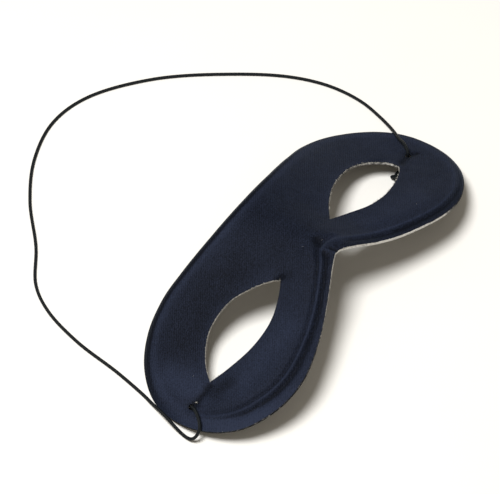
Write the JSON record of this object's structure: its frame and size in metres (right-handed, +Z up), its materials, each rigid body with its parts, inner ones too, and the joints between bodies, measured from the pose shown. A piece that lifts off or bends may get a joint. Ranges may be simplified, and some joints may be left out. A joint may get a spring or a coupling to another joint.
{
  "type": "domino mask",
  "caption": "Navy cloth-faced domino mask, an arched half mask with almond eye holes and a pressed rim, lying face up with its thin black elastic cord looped loosely behind it",
  "frame": {"origin": "on the table, under the middle of the sheet's width and height as it lies face up", "axes": "+X along the mask's width, +Y from the cheek edge towards the brow edge and the cord's loop, +Z up, out of the face"},
  "size_m": [0.1859, 0.1761, 0.0352],
  "materials": {
    "cloth": "fine woven navy cloth, heat-pressed over a stiff core that is pale where it is cut, satin matt",
    "elastic": "braided black elastic cord, slightly shiny"
  },
  "bodies": {
    "root": {"mask": "cloth", "elastic_cord": "elastic", "knot_left": "elastic", "knot_right": "elastic"}
  },
  "joints": []
}
